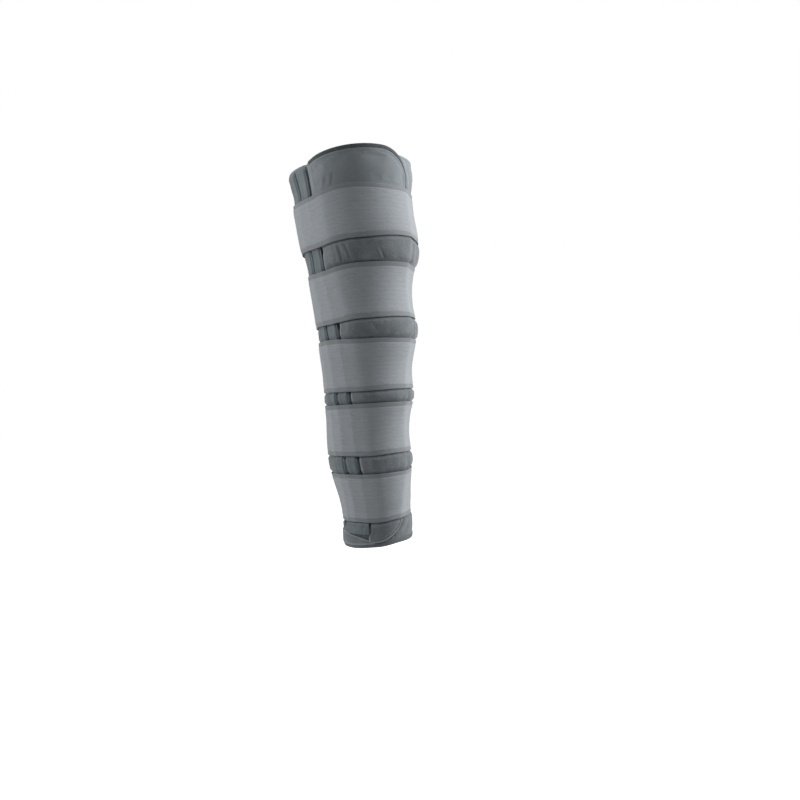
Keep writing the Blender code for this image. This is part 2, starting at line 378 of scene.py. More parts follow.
def edge_height(edge, angle):
    """Heights of an edge at these angles."""
    levels = np.array(tuple(edge) + (edge.front,), float)
    turned = np.mod(angle, 360.0)
    upper = np.searchsorted(EDGE_ANGLES, turned, side="right")
    low, high = EDGE_ANGLES[upper - 1], EDGE_ANGLES[upper]
    ease = (1 - np.cos(np.pi * (turned - low) / (high - low))) / 2
    return levels[upper - 1] + (levels[upper] - levels[upper - 1]) * ease


def outside_straps(angle, height):
    """How far each point lies outside the nearest strap, negative under one."""
    gaps = [np.maximum(height - edge_height(strap.upper, angle),
                       edge_height(strap.lower, angle) - height) for strap in STRAPS]
    return np.min(gaps, axis=0)


def near(angle, middle, reach):
    """Share of nearness to an angle: 1 all round it, and 0 from the reach on."""
    away = np.abs(np.mod(angle - middle + 180.0, 360.0) - 180.0)
    return smooth_step(1.5 * (1.0 - away / reach))


def strap_sink(angle, height):
    """How far the straps press the padding in; between them the stays hold it back too."""
    outside = outside_straps(angle, height)
    slope = SINK_SLOPE + CROWN_SLOPE * rise(height, CROWN_SLOPE_START, 10.0)
    pressure = smooth_step(1.0 - (outside - SINK_MARGIN) / slope)
    hold = STAY_HOLD + STAY_HOLD_THIGH * rise(height, KNEE_START, KNEE_REACH)
    held = hold * (1.0 - pressure) * near(angle, STAY_ANGLE, STAY_REACH)
    middle = np.maximum(0.0, 1.0 - (1.0 + 2.0 * np.minimum(outside, 0.0) / STRAP_WIDTH) ** 2)
    on_soft_side = (1.0 + np.cos(np.radians(angle - PINCH_ANGLE))) / 2
    return STRAP_SINK * (pressure + held) + STRAP_PINCH * middle * on_soft_side


def above_ankle(height):
    """Smooth rise from 0 to 1 just above the ankle."""
    return rise(height, FULLER_START, 20.0)


def at_rim(height):
    """Smooth rise from 0 to 1 towards the upper rim."""
    return rise(height, FULLER_RIM_START, 40.0)


def wrap_radius(angle, height):
    """Distances from the leg's middle line to the outer surface of the wrap."""
    turn = np.radians(angle)
    fuller = FULLER * above_ankle(height) + FULLER_RIM * at_rim(height)
    wide = half_width(height) + fuller
    deep = smooth_value(SECTIONS, "half_depth", height) + fuller
    radius = 1.0 / np.hypot(np.sin(turn) / wide, np.cos(turn) / deep)
    flare = near(angle, RIM_FLARE_ANGLE, RIM_FLARE_REACH)
    flare = RIM_FLARE * flare * rise(height, RIM_FLARE_START, 40.0)
    flat = (1.0 + np.cos(np.pi * np.clip((angle - FLAT_ANGLE) / FLAT_REACH, -1.0, 1.0))) / 2
    flat = FLAT_DEPTH * flat * rise(height, FLAT_START, 30.0)
    return radius + flare - flat - strap_sink(angle, height)


def points(angle, height, lift):
    """Points in metres at these angles, heights and lifts."""
    angle, height, lift = np.broadcast_arrays(angle, height, lift)
    turn = np.radians(angle)
    reach = wrap_radius(angle, height) + lift
    forward = smooth_value(SECTIONS, "forward", height) + FORWARD_SHIFT * above_ankle(height)
    forward = forward + (FORWARD_SHIFT_RIM - FORWARD_SHIFT) * at_rim(height)
    place = (-np.sin(turn) * reach, -forward - np.cos(turn) * reach, height)
    return np.stack(place, axis=-1) * MM


def degrees_of(width, height):
    """Angles that a width covers on the wrap's outer side."""
    return np.degrees(width / half_width(height))


def width_of(angle, height):
    """Width that angles cover on the wrap's outer side."""
    return angle / degrees_of(1.0, height)


def roundness(distance, radius):
    """Share of its full half thickness that a rounded edge has at a distance from its end."""
    share = np.clip(distance / radius, 0.0, 1.0)
    return np.sqrt(share * (2.0 - share))


def across(width, count, nose):
    """Distances from 0 to each row's width: close round both ends, even between them."""
    turn = nose * (1 - np.cos(np.linspace(0, np.pi / 2, 4, endpoint=False)))
    width = np.asarray(width, float)[..., None]
    body = nose + (width - 2 * nose) * np.linspace(0, 1, count + 1)
    start = np.broadcast_to(turn, width.shape[:-1] + turn.shape)
    return np.concatenate([start, body, width - turn[::-1]], axis=-1)


def pad_levels(bottom, top, angle):
    """Knots that the rows of a pad follow: its ends, and the edges of each strap."""
    knots = [bottom]
    for strap in reversed(STRAPS):
        lower, upper = edge_height(strap.lower, angle), edge_height(strap.upper, angle)
        knots += [lower - SINK_MARGIN - SINK_SLOPE, lower - SINK_MARGIN,
                  upper + SINK_MARGIN, upper + SINK_MARGIN + SINK_SLOPE]
    return knots + [top]


def pad_plan(bottom, top, step):
    """Knot and share of the way to the next knot for each row, with the end rows crowded."""
    levels = pad_levels(bottom, top, 45.0)
    plan = []
    for knot, (low, high) in enumerate(zip(levels, levels[1:])):
        under_strap = knot % 4 == 2
        count = max(2, round((high - low) / (STRAP_WIDTH / 6 if under_strap else step)))
        shares = np.arange(count) / count
        if knot == 0:
            shares = 1 - np.cos(np.pi / 2 * shares)
        elif knot == len(levels) - 2:
            shares = np.sin(np.pi / 2 * shares)
        plan += [(knot, share) for share in shares]
    return plan + [(len(levels) - 2, 1.0)]


def planned_heights(plan, bottom, top, angle):
    """Heights of all rows of a plan at the angles of a grid."""
    knots = np.stack([np.broadcast_to(knot, angle.shape)
                      for knot in pad_levels(bottom, top, angle)])
    lower = np.array([knot for knot, _ in plan])
    share = np.array([share for _, share in plan])[:, None]
    rows = np.arange(len(plan))
    return knots[lower, rows] * (1 - share) + knots[lower + 1, rows] * share


def pad_lifts(thickness, seat, hug, distance):
    """Outer and inner lift of a pad at a distance from its edge; hug thins its inner side."""
    thin = thickness * (1 - EDGE_SHARE) * (1 - smooth_step(distance / EDGE_SWELL))
    outer = seat + thickness - thin * (1 - hug)
    inner = seat + thin * hug
    middle = (outer + inner) / 2
    nose = roundness(distance, NOSE)
    return middle + (outer - middle) * nose, middle - (middle - inner) * nose


def ripple(along, wave_length, seed):
    """Uneven wave between -1 and 1, the same each time for one seed."""
    turn = 2 * np.pi * np.asarray(along) / wave_length
    return (np.sin(turn + seed) + 0.6 * np.sin(1.7 * turn + 2.3 * seed + 1.0)
            + 0.4 * np.sin(0.43 * turn + 5.1 * seed)) / 2


def pucker(along, from_seam, depth, seed):
    """Small dips beside a seam, where the thread draws the cloth together."""
    return -depth * bell(from_seam, 0.0, PUCKER_WIDTH) * (0.55 + 0.45 * ripple(along, PUCKER_PITCH, seed))


def bead(distance):
    """Rolled bead along an edge, with the groove of its seam behind it."""
    roll = bell(distance, BEAD_PLACE, BEAD_WIDTH)
    seam = bell(distance, 2.3 * BEAD_PLACE, 0.8 * BEAD_WIDTH)
    return BEAD_RISE * roll - 0.9 * BEAD_RISE * seam


def mesh_object(name, vertices, faces, materials=(), weave=None, lining_from=None):
    """A smooth shaded mesh object; faces from lining_from on take the second material."""
    mesh = bpy.data.meshes.new(name)
    mesh.from_pydata(vertices.tolist(), [], faces)
    mesh.shade_smooth()
    for material in materials:
        mesh.materials.append(material)
    if lining_from is not None:
        slots = (np.arange(len(faces)) >= lining_from).astype(np.int32)
        mesh.polygons.foreach_set("material_index", slots)
    if weave is not None:
        attribute = mesh.attributes.new("weave", "FLOAT_VECTOR", "POINT")
        attribute.data.foreach_set("vector", np.ascontiguousarray(weave, np.float32).ravel())
    made = bpy.data.objects.new(name, mesh)
    bpy.context.scene.collection.objects.link(made)
    return made


def quads(index):
    """Faces over a grid of vertex numbers, pointing off the leg."""
    corners = (index[:-1, :-1], index[1:, :-1], index[1:, 1:], index[:-1, 1:])
    return np.stack(corners, axis=-1).reshape(-1, 4)


def two_faces(angle, height, middle, above, below):
    """Outer and inner face of a piece, at lifts above and below its middle."""
    return points(angle, height, middle + above), points(angle, height, middle - below)


def shell(name, outside, inside, weave, materials):
    """A closed piece: an outer and an inner face over one grid, which meet along its border."""
    rows, columns = outside.shape[:2]
    index = np.arange(rows * columns).reshape(rows, columns)
    under = index.copy()
    under[1:-1, 1:-1] = rows * columns + np.arange((rows - 2) * (columns - 2)).reshape(rows - 2, -1)
    faces = quads(index).tolist() + quads(under)[:, ::-1].tolist()
    vertices = np.concatenate([outside.reshape(-1, 3), inside[1:-1, 1:-1].reshape(-1, 3)])
    woven = np.concatenate([weave.reshape(-1, 3), weave[1:-1, 1:-1].reshape(-1, 3)])
    lining_from = len(faces) // 2 if len(materials) > 1 else None
    return mesh_object(name, vertices, faces, materials, woven * MM, lining_from)


def weave_of(along, up, from_edge):
    """Cloth coordinates of a grid: along and up the cloth, and the distance from its edge."""
    return np.stack(np.broadcast_arrays(along, up, from_edge), axis=-1)


def puff(outside, free, excess, cap):
    """Blow up the free part of a pad's outer face as cloth, and return where its points go."""
    index = np.arange(free.size).reshape(free.shape)
    sheet = mesh_object("cloth_trial", outside.reshape(-1, 3), quads(index).tolist())
    held = sheet.vertex_groups.new(name="held")
    grip = np.round((1.0 - free.ravel()) * 10).astype(int)
    for level in range(1, 11):
        held.add(np.flatnonzero(grip == level).tolist(), level / 10, "REPLACE")
    cloth = sheet.modifiers.new("Cloth", "CLOTH")
    settings = cloth.settings
    settings.quality = 5
    settings.mass = 0.15
    settings.tension_stiffness = 12.0
    settings.compression_stiffness = 12.0
    settings.shear_stiffness = 4.0
    settings.bending_stiffness = 0.4
    settings.air_damping = 1.0
    settings.use_pressure = True
    settings.uniform_pressure_force = 4.0
    settings.shrink_min = -excess
    settings.vertex_group_mass = "held"
    settings.pin_stiffness = 2.0
    settings.effector_weights.gravity = 0.0
    for step in range(1, 21):
        bpy.context.scene.frame_set(step)
    moved = sheet.evaluated_get(bpy.context.evaluated_depsgraph_get())
    place = np.empty(free.size * 3, np.float32)
    moved.data.vertices.foreach_get("co", place)
    bpy.data.objects.remove(sheet, do_unlink=True)
    bpy.context.scene.frame_set(1)
    shift = place.reshape(outside.shape) - outside
    length = np.linalg.norm(shift, axis=-1, keepdims=True)
    shift *= cap * MM / np.maximum(length, cap * MM)
    return outside + shift * free[..., None]


def free_of_straps(angle, height):
    """Share in which a point of a pad is free of the straps, rising from 0 beside them."""
    return rise(outside_straps(angle, height), 1.5, 4.0)


def front_top(angle):
    """Heights of the front panel's crowned upper edge."""
    return FRONT_TOP_SIDE + FRONT_CROWN * (1.0 - ((angle - CROWN_ANGLE) / CROWN_REACH) ** 2)


def front_bottom(angle):
    """Heights of the front panel's lower edge, along the band of the lower rim."""
    return edge_height(BOTTOM_RIM, angle) + FOOT_BAND


def front_slit(height):
    """Angles of the front panel's edge beside the slit, with the toe that closes its end."""
    toe = TOE_WIDTH * fall(height, TOE_START, 5.0)
    for notch in NOTCHES:
        toe = toe - notch.depth * bell(height, notch.height, NOTCH_REACH)
    return slit_angle(height) + degrees_of(toe, height)


def corner_inset(radius, distance):
    """How far a rounded corner pulls an edge in, at a distance from the end."""
    left = np.clip(radius - distance, 0.0, radius)
    return radius - np.sqrt(radius ** 2 - left ** 2)


def corner_distance(from_side, from_end, radius):
    """Distance from the border of a patch with a rounded corner."""
    in_corner = (from_side < radius) & (from_end < radius)
    rounded = radius - np.hypot(radius - from_side, radius - from_end)
    return np.maximum(0.0, np.where(in_corner, rounded, np.minimum(from_side, from_end)))


def free_border(angle, height):
    """Angles of the front panel's free border, with its rounded corners."""
    inset = np.maximum(corner_inset(FOOT_CORNER, height - front_bottom(angle)),
                       corner_inset(CROWN_CORNER, front_top(angle) - height))
    return free_angle(height) + degrees_of(inset, height)


def front_thickness(angle, height, beside_free):
    """Thickness of the front panel, whose foam thins out towards its side edges."""
    below_crown = smooth_step((front_top(angle) - height - 2.0) / 30.0)
    thinned = FREE_THINNING * below_crown * (1.0 - smooth_step(beside_free / FREE_SWELL))
    beside_slit = width_of(front_slit(height) - angle, height)
    return FRONT_FOAM - thinned - SLIT_THINNING * (1.0 - smooth_step(beside_slit / SLIT_SWELL))


def slit_width(height):
    """Width of the slit between the front panel and the first pocket."""
    return SLIT_WIDTH + SLIT_WIDENING * rise(height, 120.0, 110.0)


def pocket_angles(number, height):
    """Front and back edge of a stay pocket at these heights."""
    width = POCKET_WIDTH + POCKET_WIDENING * height
    start = slit_angle(height)
    start = start + degrees_of(slit_width(height) + number * (width + SEAM_WIDTH), height)
    return start, start + degrees_of(width, height)


def stay_bow(number, angle, height):
    """How far the flat stay in a pocket stands off the curve of the leg."""
    front, back = pocket_angles(number, height)
    offset = width_of(angle - (front + back) / 2, height)
    half = width_of((back - front) / 2, height)
    bow = (offset ** 2 - STAY_REST) / (2 * half_width(height))
    return np.where(np.abs(offset) < half, bow, 0.0)


def slit_groove(angle, height):
    """Depth of the slit between the front panel and the first pocket."""
    wide = slit_width(height)
    beside = width_of(angle - slit_angle(height), height) - wide / 2
    return SLIT_DEPTH * np.exp(-(beside / wide) ** 4) * rise(height, TOE_START, 8.0)


def slot_share(behind_pockets, height):
    """Share of its full depth that the slot behind the flap has."""
    slot = rise(behind_pockets, SLOT_START, 2) * fall(behind_pockets, SLOT_END, 2.5)
    return slot * rise(height, SLOT_BOTTOM, 3) * fall(height, SLOT_TOP, 4)


def lip_share(outside_free):
    """Share of its full rise that the wrap has at a distance outside the free edge."""
    lip = rise(outside_free, LIP_START, LIP_SLOPE)
    return lip * (1 - rise(outside_free - LIP_START, LIP_SLOPE, LIP_REACH))


def make_wrap(materials):
    """The padded wrap round the leg, puffed up where nothing presses it."""
    length = math.radians(WRAP_END - WRAP_START) * MEAN_RADIUS
    along = across(length, WRAP_COLUMNS, NOSE)
    plan = pad_plan(BOTTOM_RIM.corner, TOP_RIM.corner, WRAP_ROW)
    angle = WRAP_START + np.degrees(along / MEAN_RADIUS) * np.ones((len(plan), 1))
    bottom, top = edge_height(BOTTOM_RIM, angle), edge_height(TOP_RIM, angle)
    height = planned_heights(plan, bottom, top, angle)
    from_top = top - height
    from_end = np.minimum(height - bottom, from_top)
    from_side = np.minimum(along, length - along) * np.ones_like(height)
    distance = np.minimum(from_end, from_side)
    outer, inner = pad_lifts(WRAP_FOAM, -WRAP_FOAM, 0.5, distance)
    outer = outer + pucker(way_round(angle), height - bottom - FOOT_SEAM, FOOT_SEAM_DEPTH, 1.0)
    outer = outer + bead(from_top)
    open_part = free_of_straps(angle, height)
    outer = outer - slit_groove(angle, height)
    behind_pockets = width_of(angle - pocket_angles(1, height)[1], height)
    slot = slot_share(behind_pockets, height)
    outer = outer - SLOT_DEPTH * slot
    below_flap = bell(height, ledge_top(angle) + LEDGE_GROOVE_PLACE, LEDGE_GROOVE_WIDTH)
    outer = outer - LEDGE_GROOVE * (below_flap * near(angle, POCKETS_ANGLE, POCKETS_REACH))
    outside_free = width_of(free_border(angle - 360, height) + 360 - angle, height)
    outer = outer + LIP_RISE * lip_share(outside_free) * open_part * rise(from_end, 5, 5)
    bare = rise(behind_pockets, 2, 4) * rise(outside_free, 3, FADE)
    soft = 1.0 - STAY_STIFFNESS * near(angle, STAY_ANGLE, STAY_REACH)
    free = bare * soft * open_part * rise(from_end, 7, FADE)
    outside = puff(points(angle, height, outer), free, WRAP_EXCESS, WRAP_PUFF)
    inside = points(angle, height, inner)
    weave = weave_of(way_round(angle), height, distance)
    wrap = shell("wrap", outside, inside, weave, materials)
    # Painted shade: the faces of the slot behind the flap take the dark lining cloth.
    for face in np.flatnonzero((slot[:-1, :-1] > 0.3).ravel()):
        wrap.data.polygons[int(face)].material_index = 1
    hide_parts("wrap_panel")
    return wrap


def crease_dips(angle, height):
    """Lift taken off the front panel by its creases, with a low ridge beside each."""
    dips = np.zeros_like(height)
    for crease in CREASES:
        run = crease.top_height - crease.low_height
        share = (height - crease.low_height) / run
        line = crease.low_angle + (crease.top_angle - crease.low_angle) * share
        aside = way_round(angle - line)
        ends = rise(share, -0.25, 0.4) * fall(share, 1.15, 0.5)
        ridge = 0.5 * bell(aside, 2.2 * CREASE_WIDTH, CREASE_WIDTH)
        dips += crease.depth * ends * (ridge - bell(aside, 0.0, CREASE_WIDTH))
    return dips


def front_grid():
    """Angles, heights and distances from the border over the front panel's grid."""
    plan = pad_plan(BOTTOM_RIM.corner + FOOT_BAND, FRONT_TOP_SIDE + FRONT_CROWN, FRONT_ROW)
    height = np.linspace(BOTTOM_RIM.corner + FOOT_BAND, FRONT_TOP_SIDE, len(plan))[:, None]
    angle = np.full((len(plan), 1), CROWN_ANGLE)
    for _ in range(5):
        start = free_border(angle, height)
        from_crown = front_top(angle) - height
        end = front_slit(height) - degrees_of(corner_inset(SLIT_CORNER, from_crown), height)
        width = np.mean(width_of(end - start, height), axis=1)
        share = across(width, FRONT_COLUMNS, NOSE) / width[:, None]
        angle = start + (end - start) * share
        height = planned_heights(plan, front_bottom(angle), front_top(angle), angle)
    from_foot = np.maximum(0.0, height - front_bottom(angle))
    from_crown = np.maximum(0.0, front_top(angle) - height)
    from_free = width_of(np.maximum(0.0, angle - free_angle(height)), height)
    from_slit = width_of(np.maximum(0.0, front_slit(height) - angle), height)
    beside_free = np.minimum(corner_distance(from_free, from_foot, FOOT_CORNER),
                             corner_distance(from_free, from_crown, CROWN_CORNER))
    beside_slit = corner_distance(from_slit, from_crown, SLIT_CORNER)
    distance = np.minimum(beside_free, beside_slit)
    border = np.zeros(distance.shape, bool)
    border[[0, -1], :] = True
    border[:, [0, -1]] = True
    return angle, height, np.where(border, 0.0, distance), beside_free, from_slit


def make_front(materials):
    """The padded front panel, with its rolled free edge and its crown ready for binding."""
    angle, height, distance, beside_free, from_slit = front_grid()
    thickness = front_thickness(angle, height, beside_free)
    outer, inner = pad_lifts(thickness, FRONT_SEAT_GAP, 0.0, distance)
    open_part = free_of_straps(angle, height)
    outer = outer + crease_dips(angle, height) * open_part * rise(distance, 6, FADE)
    under_strap = STRAPS[0].upper.front - CROWN_OVER_STRAP
    below_crown = rise(under_strap, height, 8)
    outer = outer + FREE_BEAD * bead(distance) * rise(from_slit, 8, FADE) * below_crown
    bulge = BULGE_RISE * bell(distance, BULGE_PLACE, BULGE_WIDTH)
    outer = outer + bulge * smooth_step((height - under_strap - 6) / 8)
    free = open_part * rise(distance, 6.5, FADE)
    outside = puff(points(angle, height, outer), free, FRONT_EXCESS, FRONT_PUFF)
    inside = points(angle, height, inner)
    weave = weave_of(way_round(angle), height, distance)
    front = shell("front_pad", outside, inside, weave, materials)
    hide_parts("front_panel")
    down = height[::-1, 0] > under_strap
    down[0] = False
    crown = (np.concatenate([angle[-1, ::-1], angle[::-1, 0][down]]),
             np.concatenate([height[-1, ::-1], height[::-1, 0][down]]))
    return front, crown


def ledge_top(angle):
    """Heights of the folded upper edge of the cloth below the flap."""
    shifts = np.linspace(-2.8, 2.8, 9)
    angles, levels = [row.angle for row in LEDGE], [row.height for row in LEDGE]
    return np.mean([np.interp(angle + shift, angles, levels) for shift in shifts], axis=0)


def make_ledge(materials):
    """Cloth below the flap, whose folded upper edge runs down towards the slit."""
    angle = np.linspace(LEDGE[0].angle, LEDGE[-1].angle, 150)[None, :]
    top = ledge_top(angle)
    bottom = edge_height(BOTTOM_RIM, angle) + FOOT_BAND - 1.5
    share = across(1.0, 10, 0.12)[:, None]
    height = bottom + np.maximum(top - bottom, 0.4) * share
    along = np.radians(angle - LEDGE[0].angle) * FOOT_RADIUS
    length = along[0, -1]
    from_end = np.minimum(along, length - along)
    distance = np.minimum(np.minimum(top - height, height - bottom), from_end)
    distance = np.maximum(distance, 0.0)
    lift = 0.1 + LEDGE_CLOTH / 2
    half = LEDGE_CLOTH / 2 * roundness(distance, LEDGE_NOSE)
    weave = weave_of(along, height, distance)
    ledge = shell("foot_ledge", *two_faces(angle, height, lift, half, half), weave, materials)
    return ledge


class Border:
    """Even steps along an edge, with the direction into the piece at each."""

    def __init__(self, angle, height, inward, step=2.0):
        radius = half_width(height)
        flat = np.stack([np.radians(angle) * radius, height], axis=-1)
        run = np.concatenate([[0], np.cumsum(np.linalg.norm(np.diff(flat, axis=0), axis=1))])
        keep = np.concatenate([[True], np.diff(run) > 1e-6])
        self.length = run[-1]
        self.along = np.linspace(0, self.length, max(2, round(self.length / step)) + 1)
        self.angle = np.interp(self.along, run[keep], angle[keep])
        self.height = np.interp(self.along, run[keep], height[keep])
        self.radius = half_width(self.height)
        sideways = np.gradient(np.radians(self.angle)) * self.radius
        upward = np.gradient(self.height)
        smooth = np.ones(5) / 5
        sideways = np.convolve(np.pad(sideways, 2, mode="edge"), smooth, "valid")
        upward = np.convolve(np.pad(upward, 2, mode="edge"), smooth, "valid")
        size = np.hypot(sideways, upward)
        self.turn = (-upward / size * inward, sideways / size * inward)

    def inside(self, distance):
        """Angles and heights at distances into the piece, one row for each distance."""
        distance = np.asarray(distance, float)[:, None]
        angle = self.angle + np.degrees(self.turn[0] * distance / self.radius)
        return angle, self.height + self.turn[1] * distance


def tape_profile(width, raised):
    """Cross-section of a folded tape: the pad's own distance, its side, and the tape's lift."""
    leg = np.array([width, width - 0.3, (width + NOSE) / 2])
    bend = np.radians(np.linspace(90, -90, 9))
    own = np.concatenate([leg, NOSE * (1 - np.cos(bend)), leg[::-1]])
    side = np.concatenate([np.ones(3), np.sin(bend), -np.ones(3)])
    forward = np.concatenate([np.zeros(3), np.cos(bend), np.zeros(3)])
    lift = np.full(len(own), raised)
    lift[[0, -1]] = min(raised, 0.05)
    return own, side, forward, lift


def bind(name, border, pad, fabric, width=TAPE_WIDTH):
    """Tape folded over the edge of a pad, whose lifts the pad function gives."""

    def surface(raised):
        own, side, forward, lift = tape_profile(width, raised)
        outer, inner = pad(own[:, None], border)
        level = np.where(side[:, None] >= 0, outer, inner) + (side * lift)[:, None]
        angle, height = border.inside(own - forward * lift)
        return points(angle, height, level)

    weave = weave_of(border.along, np.linspace(0, 2 * width, 15)[:, None], 0.0)
    outside, inside = surface(TAPE_CLOTH), surface(0.08)
    if quads_point_inward(outside):
        outside, inside, weave = outside[::-1], inside[::-1], weave[::-1]
    tape = shell(name, outside, inside, weave, [fabric])
    return tape


def quads_point_inward(corner):
    """True if a grid's first faces point towards the leg."""
    normal = np.cross(corner[1, 0] - corner[0, 0], corner[0, 1] - corner[0, 0])
    return normal[0] * corner[0, 0, 0] + normal[1] * corner[0, 0, 1] < 0


def grain(sides=5):
    """One stitch as a small round grain: its vertices along, across and up, and its faces."""
    rings = [(-0.75, 0.75), (0.0, 1.0), (0.75, 0.75)]
    turn = np.arange(sides) * 2 * np.pi / sides
    vertices = [(-1.0, 0.0, 0.0)]
    for along, size in rings:
        vertices += [(along, size * math.cos(a), size * math.sin(a)) for a in turn]
    vertices.append((1.0, 0.0, 0.0))
    faces = []
    for k in range(sides):
        after = (k + 1) % sides
        faces.append((0, 1 + after, 1 + k))
        for ring in range(2):
            base = 1 + ring * sides
            faces.append((base + k, base + after, base + sides + after, base + sides + k))
        base = 1 + 2 * sides
        faces.append((base + k, base + after, base + sides))
    return np.array(vertices), faces


def unit(vectors):
    """The same directions with a length of 1."""
    return vectors / np.linalg.norm(vectors, axis=-1, keepdims=True)


def stitch_places(line, angle):
    """Middles of the stitches along a line, and their axes along it, across it and upwards."""
    run = np.concatenate([[0], np.cumsum(np.linalg.norm(np.diff(line, axis=0), axis=1))])
    at = np.arange(STITCH_PITCH / 2, run[-1] / MM, STITCH_PITCH) * MM

    def on_line(where):
        return np.stack([np.interp(where, run, line[:, k]) for k in range(3)], axis=-1)

    along = unit(on_line(at + 0.5 * MM) - on_line(at - 0.5 * MM))
    turn = np.radians(np.interp(at, run, angle))
    up = np.stack([-np.sin(turn), -np.cos(turn), np.zeros_like(turn)], axis=-1)
    aside = unit(np.cross(up, along))
    return on_line(at), np.stack([along, aside, np.cross(along, aside)], axis=1)


def stitches(name, lines, fabric):
    """Rows of stitches along lines, each given by its angles, heights and lifts."""
    pattern, faces = grain()
    pattern = pattern * (np.array([STITCH_LENGTH / 2, STITCH_THICK / 2, STITCH_THICK / 2]) * MM)
    blocks = []
    for angle, height, lift in lines:
        middle, axes = stitch_places(points(angle, height, lift), angle)
        blocks.append(middle[:, None] + np.einsum("vk,skj->svj", pattern, axes))
    vertices = np.concatenate(blocks)
    starts = np.arange(len(vertices)) * len(pattern)
    corners = [tuple(start + v for v in face) for start in starts.tolist() for face in faces]
    weave = np.broadcast_to(pattern, vertices.shape)
    return mesh_object(name, vertices.reshape(-1, 3), corners, [fabric], weave)


def pocket_lift(distance):
    """Outer lift of a stay pocket: a thin sewn margin, and the stay under the middle."""
    stay = rise(distance, POCKET_MARGIN, 2.4)
    return SEAT_GAP + POCKET_MARGIN_CLOTH + (POCKET_PAD - POCKET_MARGIN_CLOTH) * stay


def make_pocket(number, materials):
    """One stay pocket, with its seams and the flat stay that shows through the cloth."""
    plan = pad_plan(POCKET_BOTTOM, TOP_RIM.outer - POCKET_RIM, POCKET_ROW)
    height = np.linspace(POCKET_BOTTOM, TOP_RIM.outer - POCKET_RIM, len(plan))[:, None]
    for _ in range(4):
        front, back = pocket_angles(number, height)
        width = np.mean(width_of(back - front, height), axis=1)
        share = across(width, POCKET_COLUMNS, POCKET_NOSE) / width[:, None]
        angle = front + (back - front) * share
        top = edge_height(TOP_RIM, angle) - POCKET_RIM
        height = planned_heights(plan, POCKET_BOTTOM, top, angle)
    front, back = pocket_angles(number, height)
    from_side = np.maximum(0, width_of(np.minimum(angle - front, back - angle), height))
    from_end = np.minimum(height - POCKET_BOTTOM, top - height)
    distance = np.minimum(from_side, from_end)
    wave = POCKET_WAVE * ripple(height + 31 * number, POCKET_WAVE_LENGTH, number)
    outer = pocket_lift(distance) + wave
    outer = outer + stay_bow(number, angle, height) * smooth_step(from_side / POCKET_MARGIN)
    outer = outer + pucker(height, from_side - POCKET_MARGIN, POCKET_SEAM_DEPTH, 3.0 + number)
    middle = SEAT_GAP + POCKET_MARGIN_CLOTH / 2
    nose = roundness(distance, POCKET_NOSE)
    above, below = (outer - middle) * nose, (middle - SEAT_GAP) * nose
    outside, inside = two_faces(angle, height, middle, above, below)
    weave = weave_of(way_round(angle), height, distance)
    pocket = shell("pocket_{}".format(number + 1), outside, inside, weave, materials)
    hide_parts("stay_pocket_{}".format(number + 1))
    return pocket


def pocket_seams():
    """Lines of stitches down both margins of both pockets."""
    lines = []
    for number in range(2):
        height = np.arange(POCKET_BOTTOM + 3, TOP_RIM.outer - POCKET_RIM - 3, 2.0)
        for edge, sign in zip(pocket_angles(number, height), (1, -1)):
            angle = edge + sign * degrees_of(POCKET_MARGIN - 0.9, height)
            lines.append((angle, height, np.full_like(height, SEAT_GAP + POCKET_MARGIN_CLOTH + 0.1)))
    return lines


def make_flap(materials):
    """The sewn flap over the lower ends of the pockets."""
    front = pocket_angles(0, FLAP_BOTTOM)[0]
    back = pocket_angles(1, FLAP_BOTTOM)[1]
    width = width_of(back - front, FLAP_BOTTOM)
    along = across(width, FLAP_COLUMNS, FLAP_NOSE)
    share = across(1.0, FLAP_ROWS, 0.03)[:, None]
    angle = front + along / width * (back - front) * np.ones_like(share)
    top = edge_height(STRAPS[-1].lower, angle) - FLAP_CLEARANCE
    bottom = FLAP_BOTTOM + FLAP_RISE * along / width
    height = bottom + (top - bottom) * share
    from_side = np.minimum(along, width - along) * np.ones_like(height)
    from_end = np.minimum(height - bottom, top - height)
    distance = np.minimum(from_side, from_end)
    seat = 2 * SEAT_GAP + POCKET_PAD
    nose = roundness(distance, FLAP_NOSE)
    folded = FLAP_HEM_RISE * fall(distance, FLAP_HEM, 0.8)
    wave = FLAP_WAVE * ripple(along + height, FLAP_WAVE_LENGTH, 2.0)
    outer = seat + FLAP_CLOTH - 0.3 + folded + wave
    outer = outer - FLAP_SEAM_DEPTH * bell(distance, FLAP_SEAM, 0.7)
    middle = seat + FLAP_CLOTH / 2
    above, below = (outer - middle) * nose, FLAP_CLOTH / 2 * nose
    outside, inside = two_faces(angle, height, middle, above, below)
    weave = weave_of(along, height, distance)
    flap = shell("flap", outside, inside, weave, materials)
    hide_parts("pocket_flap")
    return flap, flap_seams(front, back, width, seat + FLAP_CLOTH)


def flap_seams(front, back, width, lift):
    """Lines of stitches along the four edges of the flap."""
    share = np.linspace(FLAP_MARGIN / width, 1 - FLAP_MARGIN / width, SEAM_POINTS)
    angle = front + (back - front) * share
    low = FLAP_BOTTOM + FLAP_RISE * share + FLAP_SEAM
    high = edge_height(STRAPS[-1].lower, angle) - FLAP_CLEARANCE - 3.6
    lines = [(angle, level, np.full_like(level, lift)) for level in (low, high)]
    for end in (0, -1):
        level = np.linspace(low[end], high[end], SEAM_POINTS // 3)
        side = np.full_like(level, angle[end])
        lines.append((side, level, np.full_like(level, lift)))
    return lines


def rise_over(angle, height, edge, before, after):
    """Smooth rise from 0 to 1 as the angle passes an edge, over widths before and after it."""
    start = edge - degrees_of(before, height)
    end = edge + degrees_of(after, height)
    return smooth_step((angle - start) / (end - start))


